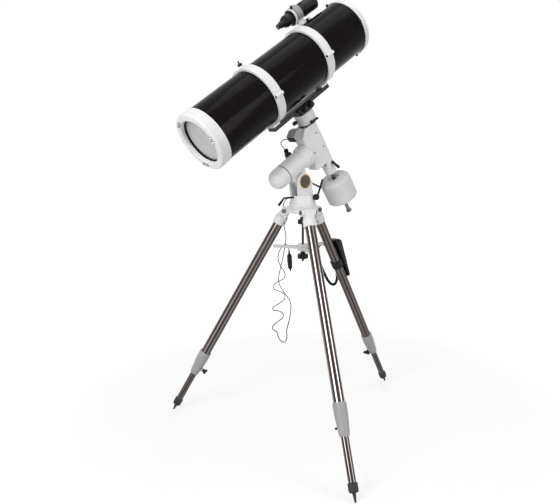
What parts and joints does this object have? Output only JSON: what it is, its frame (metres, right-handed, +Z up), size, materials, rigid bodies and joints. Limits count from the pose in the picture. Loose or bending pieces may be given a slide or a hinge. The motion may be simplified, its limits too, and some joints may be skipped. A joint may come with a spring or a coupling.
{
  "type": "reflector telescope on tripod",
  "caption": "Newtonian reflector telescope on a motor-driven equatorial mount with counterweight, standing on a splayed folding tripod with a wired hand controller.",
  "frame": {"origin": "on the floor, under the middle of the overall box", "axes": "+Z up, +Y north (the way the polar axis leans up), +X east"},
  "size_m": [1.1112, 1.2012, 1.8782],
  "materials": {
    "white_castings": "white satin enamel on castings",
    "black_tube": "gloss black with fine metallic flecks",
    "steel_tube": "polished stainless tube",
    "steel_bar": "turned steel, bright",
    "black_plastic": "black moulded, satin",
    "black_metal": "satin black anodised or painted",
    "grey_plastic": "grey moulded cover",
    "white_weight": "pale enamel on cast iron",
    "cord_rubber": "black flexible jacket",
    "mirror_glass": "front-silvered glass"
  },
  "bodies": {
    "tripod": {"tripod_head": "white_castings", "leg_bolts": "black_metal"},
    "leg_front": {"leg_front_castings": "white_castings", "leg_front_upper": "steel_tube"},
    "lower_leg_front": {"leg_front_lower": "steel_tube"},
    "leg_lock_front": {"leg_front_screw": "black_plastic"},
    "leg_right": {"leg_right_castings": "white_castings", "leg_right_upper": "steel_tube", "hand_controller": "black_plastic", "controller_lead": "cord_rubber"},
    "lower_leg_right": {"leg_right_lower": "steel_tube"},
    "leg_lock_right": {"leg_right_screw": "black_plastic"},
    "leg_left": {"leg_left_castings": "white_castings", "leg_left_upper": "steel_tube"},
    "lower_leg_left": {"leg_left_lower": "steel_tube"},
    "leg_lock_left": {"leg_left_screw": "black_plastic"},
    "spreader": {"spreader": "white_castings"},
    "centre_rod": {"centre_rod": "black_metal"},
    "spreader_knob": {"spreader_knob": "black_plastic"},
    "azimuth": {"fork": "white_castings", "altitude_axle": "white_castings", "power_cord": "cord_rubber", "power_plug": "black_plastic"},
    "azimuth_screws": {"azimuth_knobs": "black_plastic"},
    "altitude": {"ra_housing": "white_castings", "polar_cap": "white_castings"},
    "altitude_screw_south": {"altitude_bolt_south": "black_metal"},
    "altitude_screw_north": {"altitude_bolt_north": "black_metal"},
    "polar_clutch": {"ra_clutch_lever": "black_plastic"},
    "polar": {"dec_housing": "white_castings", "dec_motor_box": "grey_plastic"},
    "shaft_lock": {"shaft_lock_lever": "black_plastic"},
    "weight_shaft": {"counterweight_shaft": "steel_bar"},
    "weight": {"counterweight": "white_weight"},
    "weight_screw": {"weight_knob": "black_plastic"},
    "declination": {"saddle": "white_castings", "saddle_clamp": "black_metal"},
    "saddle_screw_front": {"saddle_knob_front": "black_plastic"},
    "saddle_screw_rear": {"saddle_knob_rear": "black_plastic"},
    "declination_clutch": {"dec_clutch_lever": "black_plastic"},
    "cradle": {"dovetail_bar": "black_metal", "rings_lower": "white_castings"},
    "ring_rear": {"ring_rear_upper": "white_castings"},
    "ring_screw_rear": {"ring_rear_knob": "black_plastic"},
    "ring_front": {"ring_front_upper": "white_castings"},
    "ring_screw_front": {"ring_front_knob": "black_plastic"},
    "camera_wheel": {"piggyback_knob": "black_plastic"},
    "tube": {"main_tube": "black_tube", "front_ring": "white_castings", "rear_ring": "white_castings", "mirror_cell": "black_metal", "primary_mirror": "mirror_glass", "collimation_screws": "steel_bar", "spider": "black_metal", "secondary_mirror": "mirror_glass", "focuser_body": "white_castings", "finder_bracket": "white_castings", "finder_tube": "black_metal"},
    "focus": {"focus_knobs": "black_plastic"},
    "draw": {"drawtube": "steel_bar"}
  },
  "joints": [
    {"name": "leg_front_fold", "type": "hinge", "parent": "tripod", "child": "leg_front", "pos_m": [0.03427, -0.0707, 0.979], "axis": [0.4043, 0.9146, 0], "range_deg": [0, 24]},
    {"name": "leg_front_extend", "type": "slide", "parent": "leg_front", "child": "lower_leg_front", "axis": [0.459, -0.2029, -0.865], "range_m": [-0.13, 0.24]},
    {"name": "leg_front_lock_turn", "type": "hinge", "parent": "leg_front", "child": "leg_lock_front", "pos_m": [0.43264, -0.24682, 0.2282], "axis": [-0.7911, 0.3497, -0.5018], "continuous": true},
    {"name": "leg_right_fold", "type": "hinge", "parent": "tripod", "child": "leg_right", "pos_m": [-0.04236, 0.0342, 0.979], "axis": [-0.9942, -0.1071, 0], "range_deg": [0, 24]},
    {"name": "leg_right_extend", "type": "slide", "parent": "leg_right", "child": "lower_leg_right", "axis": [-0.0538, 0.4989, -0.865], "range_m": [-0.13, 0.24]},
    {"name": "leg_right_lock_turn", "type": "hinge", "parent": "leg_right", "child": "leg_lock_right", "pos_m": [-0.08903, 0.46726, 0.2282], "axis": [0.0927, -0.86, -0.5018], "continuous": true},
    {"name": "leg_left_fold", "type": "hinge", "parent": "tripod", "child": "leg_left", "pos_m": [-0.09489, -0.08461, 0.979], "axis": [0.5899, -0.8075, 0], "range_deg": [0, 24]},
    {"name": "leg_left_extend", "type": "slide", "parent": "leg_left", "child": "lower_leg_left", "axis": [-0.4052, -0.296, -0.865], "range_m": [-0.13, 0.24]},
    {"name": "leg_left_lock_turn", "type": "hinge", "parent": "leg_left", "child": "leg_lock_left", "pos_m": [-0.4466, -0.34156, 0.2282], "axis": [0.6984, 0.5103, -0.5018], "continuous": true},
    {"name": "spreader_turn", "type": "hinge", "parent": "tripod", "child": "spreader", "pos_m": [-0.03433, -0.04037, 0.82], "axis": [0, 0, 1], "range_deg": [0, 60]},
    {"name": "centre_rod_turn", "type": "hinge", "parent": "tripod", "child": "centre_rod", "pos_m": [-0.03433, -0.04037, 0.93], "axis": [0, 0, 1], "continuous": true},
    {"name": "spreader_knob_turn", "type": "hinge", "parent": "tripod", "child": "spreader_knob", "pos_m": [-0.03433, -0.04037, 0.78], "axis": [0, 0, 1], "continuous": true},
    {"name": "azimuth_swivel", "type": "hinge", "parent": "tripod", "child": "azimuth", "pos_m": [-0.03433, -0.04037, 1.003], "axis": [0, 0, 1], "range_deg": [-8, 8]},
    {"name": "azimuth_screw_turn", "type": "hinge", "parent": "azimuth", "child": "azimuth_screws", "pos_m": [-0.03433, -0.01337, 1.04], "axis": [1, 0, 0], "continuous": true},
    {"name": "altitude_tilt", "type": "hinge", "parent": "azimuth", "child": "altitude", "pos_m": [-0.03433, -0.05487, 1.106], "axis": [1, 0, 0], "range_deg": [-13, 22]},
    {"name": "altitude_south_travel", "type": "slide", "parent": "azimuth", "child": "altitude_screw_south", "axis": [0, 1, 0], "range_m": [-0.016, 0.026]},
    {"name": "altitude_north_turn", "type": "hinge", "parent": "azimuth", "child": "altitude_screw_north", "pos_m": [-0.03433, -0.02737, 1.1093], "axis": [0, 0.9267, -0.3759], "continuous": true},
    {"name": "polar_clutch_turn", "type": "hinge", "parent": "altitude", "child": "polar_clutch", "pos_m": [-0.08433, -0.0682, 1.18649], "axis": [1, 0, 0], "range_deg": [0, 60]},
    {"name": "polar_turn", "type": "hinge", "parent": "altitude", "child": "polar", "pos_m": [-0.03433, 0.04523, 1.2597], "axis": [0, 0.8402, 0.5423], "range_deg": [-100, 100]},
    {"name": "shaft_lock_turn", "type": "hinge", "parent": "polar", "child": "shaft_lock", "pos_m": [0.00067, 0.10342, 1.18061], "axis": [1, 0, 0], "range_deg": [0, 80]},
    {"name": "shaft_slide", "type": "slide", "parent": "polar", "child": "weight_shaft", "axis": [0, 0.5423, -0.8402], "range_m": [-0.012, 0]},
    {"name": "weight_slide", "type": "slide", "parent": "weight_shaft", "child": "weight", "axis": [0, 0.5423, -0.8402], "range_m": [-0.01, 0.045]},
    {"name": "weight_screw_turn", "type": "hinge", "parent": "weight", "child": "weight_screw", "pos_m": [-0.10433, 0.17158, 1.06394], "axis": [1, 0, 0], "continuous": true},
    {"name": "declination_turn", "type": "hinge", "parent": "polar", "child": "declination", "pos_m": [-0.03433, 0.04523, 1.2597], "axis": [0, 0.5423, -0.8402], "continuous": true},
    {"name": "saddle_screw_front_turn", "type": "hinge", "parent": "declination", "child": "saddle_screw_front", "pos_m": [0.01067, -0.03726, 1.4207], "axis": [1, 0, 0], "continuous": true},
    {"name": "saddle_screw_rear_turn", "type": "hinge", "parent": "declination", "child": "saddle_screw_rear", "pos_m": [0.01067, -0.06751, 1.40117], "axis": [1, 0, 0], "continuous": true},
    {"name": "declination_clutch_turn", "type": "hinge", "parent": "declination", "child": "declination_clutch", "pos_m": [0.01067, -0.02944, 1.34957], "axis": [1, 0, 0], "range_deg": [0, 60]},
    {"name": "cradle_slide", "type": "slide", "parent": "declination", "child": "cradle", "axis": [0, 0.8402, 0.5423], "range_m": [-0.06, 0.06]},
    {"name": "ring_rear_open", "type": "hinge", "parent": "cradle", "child": "ring_rear", "pos_m": [0.09467, -0.26448, 1.44542], "axis": [0, 0.8402, 0.5423], "range_deg": [0, 70]},
    {"name": "ring_screw_rear_turn", "type": "hinge", "parent": "ring_rear", "child": "ring_screw_rear", "pos_m": [-0.17133, -0.26448, 1.44542], "axis": [0, -0.5423, 0.8402], "continuous": true},
    {"name": "ring_front_open", "type": "hinge", "parent": "cradle", "child": "ring_front", "pos_m": [0.09467, -0.00655, 1.61191], "axis": [0, 0.8402, 0.5423], "range_deg": [0, 22]},
    {"name": "ring_screw_front_turn", "type": "hinge", "parent": "ring_front", "child": "ring_screw_front", "pos_m": [-0.17133, -0.00655, 1.61191], "axis": [0, -0.5423, 0.8402], "continuous": true},
    {"name": "camera_wheel_turn", "type": "hinge", "parent": "ring_rear", "child": "camera_wheel", "pos_m": [-0.05256, -0.33483, 1.55442], "axis": [-0.1392, -0.537, 0.832], "continuous": true},
    {"name": "tube_roll", "type": "hinge", "parent": "cradle", "child": "tube", "pos_m": [-0.03433, -0.13047, 1.53192], "axis": [0, -0.8402, -0.5423], "range_deg": [-40, 5]},
    {"name": "focus_turn", "type": "hinge", "parent": "tube", "child": "focus", "pos_m": [-0.16949, 0.17134, 1.64518], "axis": [0, -0.8402, -0.5423], "range_deg": [0, 360]},
    {"name": "draw_slide", "type": "slide", "parent": "tube", "child": "draw", "axis": [-0.9848, 0.0942, -0.1459], "range_m": [0, 0.038]}
  ],
  "couplings": [
    {"joint": "leg_right_fold", "follows": "leg_front_fold", "ratio": 1},
    {"joint": "leg_left_fold", "follows": "leg_front_fold", "ratio": 1},
    {"joint": "spreader_turn", "follows": "leg_front_fold", "ratio": 2.5},
    {"joint": "altitude_south_travel", "follows": "altitude_tilt", "m_per_rad": 0.066},
    {"joint": "focus_turn", "follows": "draw_slide", "rad_per_m": 165.35}
  ]
}
